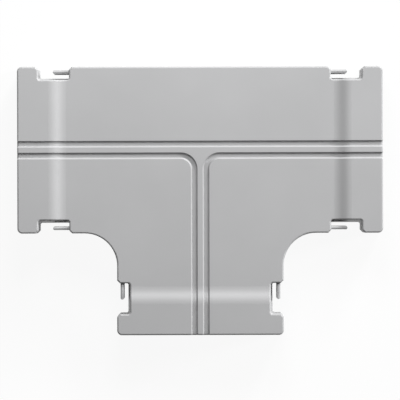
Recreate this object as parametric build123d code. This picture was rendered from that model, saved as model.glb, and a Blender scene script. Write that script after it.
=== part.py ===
"""Tee cover for surface trunking: one moulded shell, open at the back and at its three ends.

The back rim lies on the wall at Z = 0 and the front faces +Z. The arms run along X, the leg
runs along -Y, and the origin is where their centrelines cross on the wall. Millimetres.
"""
from build123d import *
import os
from math import atan2, cos, radians, sin, tan

# Trunking that slides into each end
TRUNKING_WIDTH = 133.0
TRUNKING_DEPTH = 45.0
FIT_CLEARANCE = 0.5

# Overall form
WALL = 2.5
ARM_REACH = 152.5
LEG_REACH = 154.5
BEND_RADIUS = 27.0
END_CORNER_RADIUS = 4.0
FRONT_EDGE_RADIUS = 1.4

# Raised collar at each end, with a smooth step measured back from the open end
STEP_HEIGHT = 3.2
STEP_OFFSET = 26.1
STEP_RUN = 14.5

# Pockets in the sides behind each collar
COLLAR_LENGTH = 17.5
POCKET_LENGTH = 25.8
POCKET_DEPTH = 10.9
POCKET_END_DRAFT = 0.5
POCKET_FLOOR_DRAFT = 2.5
POCKET_FLOOR_RADIUS = 1.7
POCKET_MOUTH_CHAMFER = 2.4

# Snap finger in each pocket, with a peaked top edge
FINGER_INSET = 2.9
FINGER_THICKNESS = 2.8
FINGER_LENGTH = 13.5
FINGER_BASE = 8.0
FINGER_HEIGHT = 28.0
FINGER_PEAK = 2.0
FINGER_TIP_CHAMFER = 0.8

# Spine between two grooves, along the arms and down the leg; widths are those at the front
SPINE_WIDTH = 4.2
GROOVE_WIDTH = 5.6
GROOVE_DEPTH = 2.0
# Slope of the walls of a groove, which is cut from the front to a little under its floor
GROOVE_WALL_RUN = 1.6
GROOVE_WALL_DROP = 2.4
PANEL_CORNER_RADIUS = 10.0

# How far cutting shapes run past the faces that they open
OVERRUN = 10.0
TOLERANCE = 0.01

BRANCH_HALF = TRUNKING_WIDTH / 2 + FIT_CLEARANCE + WALL
# The rib behind the grooves still clears the front of the trunking
COLLAR_FRONT = TRUNKING_DEPTH + FIT_CLEARANCE + GROOVE_DEPTH + WALL
BODY_FRONT = COLLAR_FRONT - STEP_HEIGHT
STEP_SLOPE = 2 * atan2(STEP_HEIGHT, STEP_RUN)
SPINE_HALF = SPINE_WIDTH / 2 + GROOVE_WALL_RUN
GROOVE_HALF = SPINE_WIDTH / 2 + GROOVE_WIDTH - GROOVE_WALL_RUN

# Each branch: turn about Z from +X, and reach from the crossing
BRANCHES = [(0, ARM_REACH), (180, ARM_REACH), (-90, LEG_REACH)]


def tee_outline(half_width, bend_radius, past_end=0.0):
    """Tee seen from the front, with rounded inside corners."""
    arms = Rectangle(2 * (ARM_REACH + past_end), 2 * half_width)
    leg_length = LEG_REACH + past_end
    leg = Pos(0, -leg_length / 2) * Rectangle(2 * half_width, leg_length)
    tee = arms + leg
    inside = [v for v in tee.vertices() if abs(abs(v.X) - half_width) + abs(v.Y + half_width) < TOLERANCE]
    return fillet(inside, bend_radius)


def outer_outline():
    """Outside of the cover, with the corners of its three ends rounded."""
    tee = tee_outline(BRANCH_HALF, BEND_RADIUS)
    ends = [v for v in tee.vertices() if at_open_end(v.X, v.Y)]
    return fillet(ends, END_CORNER_RADIUS)


def at_open_end(x, y):
    """Whether a place seen from the front lies on the end of an arm or the leg."""
    return abs(x) > ARM_REACH - TOLERANCE or y < TOLERANCE - LEG_REACH


def tee_cutter(half_width, bend_radius):
    """Tee that runs past the ends, from behind the wall plane to past the front."""
    outline = tee_outline(half_width, bend_radius, OVERRUN / 2)
    return extrude(Pos(0, 0, -OVERRUN) * outline, COLLAR_FRONT + 2 * OVERRUN)


def branch_below_front(reach, inset):
    """What lies under the front skin of a branch along +X, with the skin moved in by an inset."""
    step_end = reach - STEP_OFFSET
    step_start = step_end - STEP_RUN
    body = BODY_FRONT - inset
    collar = COLLAR_FRONT - inset
    past = reach + OVERRUN
    middle = (
        (step_start + step_end) / 2 + inset * sin(STEP_SLOPE),
        (BODY_FRONT + COLLAR_FRONT) / 2 - inset * cos(STEP_SLOPE),
    )
    flat = Line((0, body), (step_start, body))
    rise = TangentArc((step_start, body), middle, tangent=(1, 0))
    crest = TangentArc(middle, (step_end, collar), tangent=rise % 1)
    rest = Polyline((step_end, collar), (past, collar), (past, -OVERRUN), (0, -OVERRUN), (0, body))
    side = make_face([flat, rise, crest, rest])
    return extrude(Plane.XZ * side, BRANCH_HALF + OVERRUN, both=True)


def below_front(inset):
    """Everything under the front skin, with the skin moved in by an inset."""
    middle_size = 2 * (BRANCH_HALF + BEND_RADIUS)
    middle = Rectangle(middle_size, middle_size)
    form = extrude(Pos(0, 0, -OVERRUN) * middle, BODY_FRONT - inset + OVERRUN)
    for turn, reach in BRANCHES:
        form += Rot(0, 0, turn) * branch_below_front(reach, inset)
    return form


def on_both_sides(make_one):
    """One shape for each side of each branch, made from its form on the +Y side of a +X branch."""
    shapes = []
    for turn, reach in BRANCHES:
        one = make_one(reach)
        shapes += [Rot(0, 0, turn) * one, Rot(0, 0, turn) * mirror(one, Plane.XZ)]
    return shapes


def pocket(reach, grow=0.0):
    """Pocket behind the collar: its walls lean in towards the back, and it may be grown by a wall."""
    top = COLLAR_FRONT + OVERRUN
    bottom = -OVERRUN
    end_slope = tan(radians(POCKET_END_DRAFT))
    floor_slope = tan(radians(POCKET_FLOOR_DRAFT))
    near = reach - COLLAR_LENGTH - POCKET_LENGTH - OVERRUN * end_slope - grow
    far = reach - COLLAR_LENGTH + OVERRUN * end_slope + grow
    floor = BRANCH_HALF - POCKET_DEPTH - OVERRUN * floor_slope - grow
    end_lean = (top - bottom) * end_slope
    floor_lean = (top - bottom) * floor_slope
    outside = BRANCH_HALF + OVERRUN
    along = Polyline(
        (near, top),
        (far, top),
        (far - end_lean, bottom),
        (near + end_lean, bottom),
        close=True,
    )
    across = Polyline(
        (floor, top),
        (outside, top),
        (outside, bottom),
        (floor + floor_lean, bottom),
        close=True,
    )
    shape = extrude(Plane.XZ * make_face(along), -outside)
    shape &= extrude(Plane.YZ * make_face(across), reach)
    upright = shape.edges().filter_by(lambda edge: abs(edge.tangent_at(0.5).Z) > 0.9)
    return fillet(upright.sort_by(Axis.Y)[:2], POCKET_FLOOR_RADIUS + grow)


def finger(reach):
    """Snap finger that stands out of the pocket's inner wall, towards the open end."""
    outer = BRANCH_HALF - FINGER_INSET
    inner = outer - FINGER_THICKNESS
    top = FINGER_BASE + FINGER_HEIGHT
    shoulder = top - FINGER_PEAK
    section = Polyline(
        (inner, FINGER_BASE),
        (outer, FINGER_BASE),
        (outer, shoulder),
        ((inner + outer) / 2, top),
        (inner, shoulder),
        close=True,
    )
    root = reach - COLLAR_LENGTH - POCKET_LENGTH - WALL
    shape = extrude(Plane.YZ.offset(root) * make_face(section), WALL + FINGER_LENGTH)
    tip = shape.faces().sort_by(Axis.X)[-1]
    return chamfer(tip.edges().filter_by(Axis.Z), FINGER_TIP_CHAMFER)


def upright_faces(block):
    """Sides of a block, those of its pockets too."""
    steepest = sin(radians(2 * POCKET_FLOOR_DRAFT))
    return [face for face in block.faces() if abs(face.normal_at().Z) < steepest]


def front_rim(block):
    """Edges where the front skin of a block meets its sides: those on the outside, and on a groove."""
    lowest = BODY_FRONT - TOLERANCE
    rim = [e for face in upright_faces(block) for e in face.edges() if e.bounding_box().min.Z > lowest]
    band = GROOVE_HALF + PANEL_CORNER_RADIUS
    sorted_rim = {"outside": [], "groove": []}
    for edge in rim:
        place = edge @ 0.5
        beside_spine = abs(place.Y) < band or (abs(place.X) < band and place.Y < 0)
        on_groove = beside_spine and not at_open_end(place.X, place.Y)
        sorted_rim["groove" if on_groove else "outside"].append(edge)
    return sorted_rim


def mouth_corners(block):
    """Edges where the walls of the pockets come out through the sides of the branches."""
    corners = []
    for edge in block.edges():
        place = edge @ 0.5
        leans = 1 - TOLERANCE < abs(edge.tangent_at(0.5).Z) < cos(radians(POCKET_END_DRAFT / 2))
        on_arm = abs(abs(place.Y) - BRANCH_HALF) < TOLERANCE
        on_leg = abs(abs(place.X) - BRANCH_HALF) < TOLERANCE
        if leans and (on_arm or on_leg):
            corners.append(edge)
    return corners


def slope_starts(block):
    """From each upright side that faces a groove, its straight edge along an arm of the body."""
    starts = []
    for edge in front_rim(block)["groove"]:
        along_arm = abs(edge.tangent_at(0.5).X) > 1 - TOLERANCE
        on_body = (edge @ 0.5).Z < BODY_FRONT + TOLERANCE
        if along_arm and on_body:
            starts.append(edge)
    return starts


def lean_groove_walls(block):
    """Slope the sides of a block that face a groove; a slope runs on along smoothly joined edges."""
    starts = slope_starts(block)
    while starts:
        side = [face for face in upright_faces(block) if starts[0] in face.edges()][0]
        block = chamfer(starts[:1], GROOVE_WALL_DROP, GROOVE_WALL_RUN, reference=side)
        starts = slope_starts(block)
    return block


def rounded_block(outline, skin, pockets):
    """A raised part of the front, less its pockets: rounded outside, sloped along the grooves."""
    block = extrude(outline, COLLAR_FRONT + OVERRUN) & skin
    for cut in pockets:
        block -= cut
    corners = mouth_corners(block)
    if corners:
        block = chamfer(corners, POCKET_MOUTH_CHAMFER)
    block = lean_groove_walls(block)
    return fillet(front_rim(block)["outside"], FRONT_EDGE_RADIUS)


def groove_floor():
    """Band under the spine and the grooves, sunk to their floor and rounded at the open ends."""
    outline = tee_outline(GROOVE_HALF + WALL, PANEL_CORNER_RADIUS)
    band = extrude(outline, COLLAR_FRONT) & below_front(GROOVE_DEPTH)
    end_faces = [face for face in band.faces() if at_open_end(face.center().X, face.center().Y)]
    return fillet([face.edges().sort_by(Axis.Z)[-1] for face in end_faces], FRONT_EDGE_RADIUS)


def hollow():
    """Space inside the cover: it leaves a wall round each pocket and a rib behind the grooves."""
    space = tee_cutter(BRANCH_HALF - WALL, BEND_RADIUS + WALL) & below_front(WALL)
    for keep in on_both_sides(lambda reach: pocket(reach, WALL)):
        space -= keep
    rib = tee_cutter(GROOVE_HALF + WALL, PANEL_CORNER_RADIUS) - below_front(WALL + GROOVE_DEPTH)
    return space - rib


def tee_cover():
    """The whole moulding."""
    skin = below_front(0)
    pockets = on_both_sides(pocket)
    panels = outer_outline() - tee_outline(GROOVE_HALF, PANEL_CORNER_RADIUS, OVERRUN)
    spine = tee_outline(SPINE_HALF, PANEL_CORNER_RADIUS + GROOVE_HALF - SPINE_HALF)
    cover = groove_floor()
    for outline in panels.faces() + spine.faces():
        cover += rounded_block(outline, skin, pockets)
    for snap in on_both_sides(finger):
        cover += snap
    return cover - hollow()


os.makedirs("parts", exist_ok=True)
export_step(tee_cover(), "parts/tee_cover.step")
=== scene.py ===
"""Tee cover for surface trunking, lying on its back rim and seen from straight above."""

import math

import bpy
from mathutils import Euler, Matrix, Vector


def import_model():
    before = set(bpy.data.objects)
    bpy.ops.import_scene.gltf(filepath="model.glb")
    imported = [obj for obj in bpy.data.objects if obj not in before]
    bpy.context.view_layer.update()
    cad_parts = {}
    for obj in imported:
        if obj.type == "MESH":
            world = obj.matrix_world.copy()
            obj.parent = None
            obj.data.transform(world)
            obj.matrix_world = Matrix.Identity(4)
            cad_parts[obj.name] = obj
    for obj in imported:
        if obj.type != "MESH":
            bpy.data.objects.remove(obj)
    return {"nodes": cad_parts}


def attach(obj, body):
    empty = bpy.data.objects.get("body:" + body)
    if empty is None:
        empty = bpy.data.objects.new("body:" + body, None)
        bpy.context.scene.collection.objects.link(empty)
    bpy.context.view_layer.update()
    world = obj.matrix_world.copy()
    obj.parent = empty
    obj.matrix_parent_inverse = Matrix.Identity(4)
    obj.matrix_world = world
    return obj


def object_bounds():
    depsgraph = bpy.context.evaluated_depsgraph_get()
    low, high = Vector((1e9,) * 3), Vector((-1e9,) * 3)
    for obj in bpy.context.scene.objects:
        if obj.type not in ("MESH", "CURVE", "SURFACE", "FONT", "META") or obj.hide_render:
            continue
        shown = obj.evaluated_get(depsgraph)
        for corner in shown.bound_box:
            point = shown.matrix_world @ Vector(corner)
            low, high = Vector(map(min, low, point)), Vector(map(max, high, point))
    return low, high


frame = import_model()
cad_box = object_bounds()

# Photograph: how much of the front plane one pixel covers, and where the centrelines cross in it
PHOTO_PIXELS = 400
METRES_PER_PIXEL = 0.0008335
CROSSING_PIXEL = (200.05, 149.75)

# Camera: turn about its own axis in degrees, height above the front and farthest sight in metres,
# sensor in millimetres
CAMERA_ROLL = -0.16
CAMERA_HEIGHT = 4.0
CAMERA_SIGHT = 16.0
SENSOR_WIDTH = 36.0

# Floor: size in metres, the colour and roughness that light bounces off, and what the camera sees,
# a white that takes the shadow and the share of it that glows
FLOOR_SIZE = 6.0
FLOOR_COLOUR = (0.6, 0.6, 0.6)
FLOOR_ROUGHNESS = 0.9
FLOOR_WHITE = (0.9, 0.9, 0.9)
FLOOR_GLOW = 0.93

# World: its colour, the strength of its light, and the strength that the camera sees as white, on
# the floor and beyond it
WORLD_COLOUR = (1.0, 1.0, 1.0)
WORLD_LIGHT = 0.012
GLOW_STRENGTH = 1.0

# Soft boxes: turn from +Y towards +X and rise above the floor in degrees, distance and size in
# metres, power in watts
SOFT_BOXES = {
    "main": {"turn": 0.0, "rise": 48.0, "away": 1.0, "size": 0.36, "power": 6.1},
    "upper": {"turn": 27.0, "rise": 25.0, "away": 4.0, "size": 0.8, "power": 104.0},
    "side": {"turn": 75.0, "rise": 17.0, "away": 8.0, "size": 1.6, "power": 520.0},
}

# Plastic: its colour and shine
PLASTIC_COLOUR = (0.46, 0.461, 0.466)
PLASTIC_SPECULAR = 0.25
PLASTIC_ROUGHNESS = (0.42, 0.52)

# Faint clouds in the plastic: values of the noise, and what each multiplies the colour by
CLOUD_SCALE = 14.0
CLOUD_DETAIL = 3.0
CLOUD_TONES = ((0.3, 0.97), (0.7, 1.03))

# Moulded grain of the plastic, with its depth in metres
GRAIN_SCALE = 1600.0
GRAIN_DETAIL = 2.0
GRAIN_STRENGTH = 0.06
GRAIN_DEPTH = 0.0002

# Snap fingers, fitted closely round those of the CAD and taller: reach of each branch by its turn
# about Z in degrees, places across a branch, back from its open end and above the floor, in metres
BRANCH_REACHES = {0: 0.1525, 180: 0.1525, -90: 0.1545}
FINGER_MIDDLE = 0.0652
FINGER_THICKNESS = 0.0029
FINGER_ROOT = 0.0443
FINGER_TIP = 0.02975
FINGER_TIP_CHAMFER = 0.0008
FINGER_FOOT = 0.00795
FINGER_TOP = 0.045
FINGER_PEAK = 0.0005


def plastic(name):
    """Satin grey moulded plastic with faint clouds and a fine moulded grain."""
    material = bpy.data.materials.new(name)
    material.use_nodes = True
    nodes = material.node_tree.nodes
    links = material.node_tree.links
    shader = nodes["Principled BSDF"]
    shader.inputs["Specular IOR Level"].default_value = PLASTIC_SPECULAR
    place = nodes.new("ShaderNodeTexCoord")

    cloud = nodes.new("ShaderNodeTexNoise")
    cloud.inputs["Scale"].default_value = CLOUD_SCALE
    cloud.inputs["Detail"].default_value = CLOUD_DETAIL
    links.new(place.outputs["Object"], cloud.inputs["Vector"])
    tone = nodes.new("ShaderNodeValToRGB")
    for stop, (value, factor) in zip(tone.color_ramp.elements, CLOUD_TONES):
        shade = [channel * factor for channel in PLASTIC_COLOUR]
        stop.position = value
        stop.color = (*shade, 1.0)
    links.new(cloud.outputs["Fac"], tone.inputs["Fac"])
    links.new(tone.outputs["Color"], shader.inputs["Base Color"])

    sheen = nodes.new("ShaderNodeMapRange")
    smoothest, roughest = PLASTIC_ROUGHNESS
    sheen.inputs["To Min"].default_value = smoothest
    sheen.inputs["To Max"].default_value = roughest
    links.new(cloud.outputs["Fac"], sheen.inputs["Value"])
    links.new(sheen.outputs["Result"], shader.inputs["Roughness"])

    grain = nodes.new("ShaderNodeTexNoise")
    grain.inputs["Scale"].default_value = GRAIN_SCALE
    grain.inputs["Detail"].default_value = GRAIN_DETAIL
    links.new(place.outputs["Object"], grain.inputs["Vector"])
    bump = nodes.new("ShaderNodeBump")
    bump.inputs["Strength"].default_value = GRAIN_STRENGTH
    bump.inputs["Distance"].default_value = GRAIN_DEPTH
    links.new(grain.outputs["Fac"], bump.inputs["Height"])
    links.new(bump.outputs["Normal"], shader.inputs["Normal"])
    return material


def finger_shape(root, tip):
    """Corners and faces of a finger along +X on its own middle line, with a low peak on top."""
    half = FINGER_THICKNESS / 2
    short = tip - FINGER_TIP_CHAMFER
    narrow = half - FINGER_TIP_CHAMFER
    outline = [(root, -half), (short, -half), (tip, -narrow), (tip, 0.0)]
    outline += [(tip, narrow), (short, half), (root, half), (root, 0.0)]
    count = len(outline)
    foot = [(x, y, FINGER_FOOT) for x, y in outline]
    top = [(x, y, FINGER_TOP - FINGER_PEAK * abs(y) / half) for x, y in outline]
    faces = [list(range(count))[::-1]]
    for corner in range(count):
        after = (corner + 1) % count
        faces.append([corner, after, after + count, corner + count])
    tip_peak = outline.index((tip, 0.0))
    root_peak = outline.index((root, 0.0))
    right_slope = [*range(tip_peak + 1), root_peak]
    left_slope = [*range(tip_peak, root_peak + 1)]
    for slope in (right_slope, left_slope):
        faces.append([corner + count for corner in slope])
    return foot + top, faces


def snap_fingers(material):
    """One mesh with the finger of each of the six pockets."""
    corners = []
    faces = []
    for turn, reach in BRANCH_REACHES.items():
        shape, shape_faces = finger_shape(reach - FINGER_ROOT, reach - FINGER_TIP)
        for side in (FINGER_MIDDLE, -FINGER_MIDDLE):
            first = len(corners)
            for corner in shape:
                place = Vector(corner) + Vector((0.0, side, 0.0))
                place.rotate(Euler((0.0, 0.0, math.radians(turn))))
                corners.append(place)
            faces += [[first + corner for corner in face] for face in shape_faces]
    mesh = bpy.data.meshes.new("snap_fingers")
    mesh.from_pydata(corners, [], faces)
    mesh.materials.append(material)
    piece = bpy.data.objects.new("snap_fingers", mesh)
    bpy.context.scene.collection.objects.link(piece)
    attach(piece, "root")


def seen_directly(nodes, links):
    """Socket that is 1 for rays from the camera, also by way of a reflection or through glass."""
    path = nodes.new("ShaderNodeLightPath")
    mirrored = nodes.new("ShaderNodeMath")
    mirrored.operation = "MAXIMUM"
    links.new(path.outputs["Is Camera Ray"], mirrored.inputs[0])
    links.new(path.outputs["Is Glossy Ray"], mirrored.inputs[1])
    through = nodes.new("ShaderNodeMath")
    through.operation = "MAXIMUM"
    links.new(mirrored.outputs["Value"], through.inputs[0])
    links.new(path.outputs["Is Transmission Ray"], through.inputs[1])
    return through.outputs["Value"]


def floor():
    """Plain pale floor that the camera sees as nearly white, with the part's shadow on it."""
    bpy.ops.mesh.primitive_plane_add(size=FLOOR_SIZE)
    plane = bpy.context.object
    plane.name = "floor"
    material = bpy.data.materials.new("floor_white")
    material.use_nodes = True
    nodes = material.node_tree.nodes
    links = material.node_tree.links
    bounce = nodes["Principled BSDF"]
    bounce.inputs["Base Color"].default_value = (*FLOOR_COLOUR, 1.0)
    bounce.inputs["Roughness"].default_value = FLOOR_ROUGHNESS
    white = nodes.new("ShaderNodeBsdfDiffuse")
    white.inputs["Color"].default_value = (*FLOOR_WHITE, 1.0)
    glow = nodes.new("ShaderNodeEmission")
    glow.inputs["Strength"].default_value = GLOW_STRENGTH
    shown = nodes.new("ShaderNodeMixShader")
    shown.inputs["Fac"].default_value = FLOOR_GLOW
    links.new(white.outputs["BSDF"], shown.inputs[1])
    links.new(glow.outputs["Emission"], shown.inputs[2])
    mix = nodes.new("ShaderNodeMixShader")
    links.new(seen_directly(nodes, links), mix.inputs["Fac"])
    links.new(bounce.outputs["BSDF"], mix.inputs[1])
    links.new(shown.outputs["Shader"], mix.inputs[2])
    links.new(mix.outputs["Shader"], nodes["Material Output"].inputs["Surface"])
    plane.data.materials.append(material)


def soft_box(name, target, turn, rise, away, size, power):
    """Square lamp that faces a point."""
    data = bpy.data.lights.new(name, "AREA")
    data.size = size
    data.energy = power
    turn = math.radians(turn)
    rise = math.radians(rise)
    level = math.cos(rise)
    towards = Vector((level * math.sin(turn), level * math.cos(turn), math.sin(rise)))
    lamp = bpy.data.objects.new(name, data)
    lamp.location = target + away * towards
    lamp.rotation_euler = towards.to_track_quat("Z", "Y").to_euler()
    bpy.context.scene.collection.objects.link(lamp)


def world():
    """Dim even light all round, which the camera sees as white beyond the floor."""
    sky = bpy.data.worlds.new("studio")
    sky.use_nodes = True
    nodes = sky.node_tree.nodes
    links = sky.node_tree.links
    dim = nodes["Background"]
    white = nodes.new("ShaderNodeBackground")
    for light, strength in ((dim, WORLD_LIGHT), (white, GLOW_STRENGTH)):
        light.inputs["Color"].default_value = (*WORLD_COLOUR, 1.0)
        light.inputs["Strength"].default_value = strength
    mix = nodes.new("ShaderNodeMixShader")
    links.new(seen_directly(nodes, links), mix.inputs["Fac"])
    links.new(dim.outputs["Background"], mix.inputs[1])
    links.new(white.outputs["Background"], mix.inputs[2])
    links.new(mix.outputs["Shader"], nodes["World Output"].inputs["Surface"])
    bpy.context.scene.world = sky


def camera(front):
    """Long lens straight above the part, with the frame laid out as in the photograph."""
    middle = PHOTO_PIXELS / 2
    across, down = CROSSING_PIXEL
    place = Vector((middle - across, down - middle, 0.0)) * METRES_PER_PIXEL
    roll = Euler((0.0, 0.0, math.radians(CAMERA_ROLL)))
    place.rotate(roll)
    data = bpy.data.cameras.new("camera")
    data.sensor_width = SENSOR_WIDTH
    data.lens = SENSOR_WIDTH * CAMERA_HEIGHT / (PHOTO_PIXELS * METRES_PER_PIXEL)
    data.clip_end = CAMERA_SIGHT
    view = bpy.data.objects.new("camera", data)
    view.location = (place.x, place.y, front + CAMERA_HEIGHT)
    view.rotation_euler = roll
    bpy.context.scene.collection.objects.link(view)
    bpy.context.scene.camera = view


grey = plastic("moulded_plastic")
cover = frame["nodes"]["tee_cover"]
cover.data.materials.clear()
cover.data.materials.append(grey)
snap_fingers(grey)

low, high = cad_box
centre = (low + high) / 2
floor()
world()
for name, values in SOFT_BOXES.items():
    soft_box(name, centre, **values)
camera(high.z)
bpy.context.scene.view_settings.view_transform = "Standard"
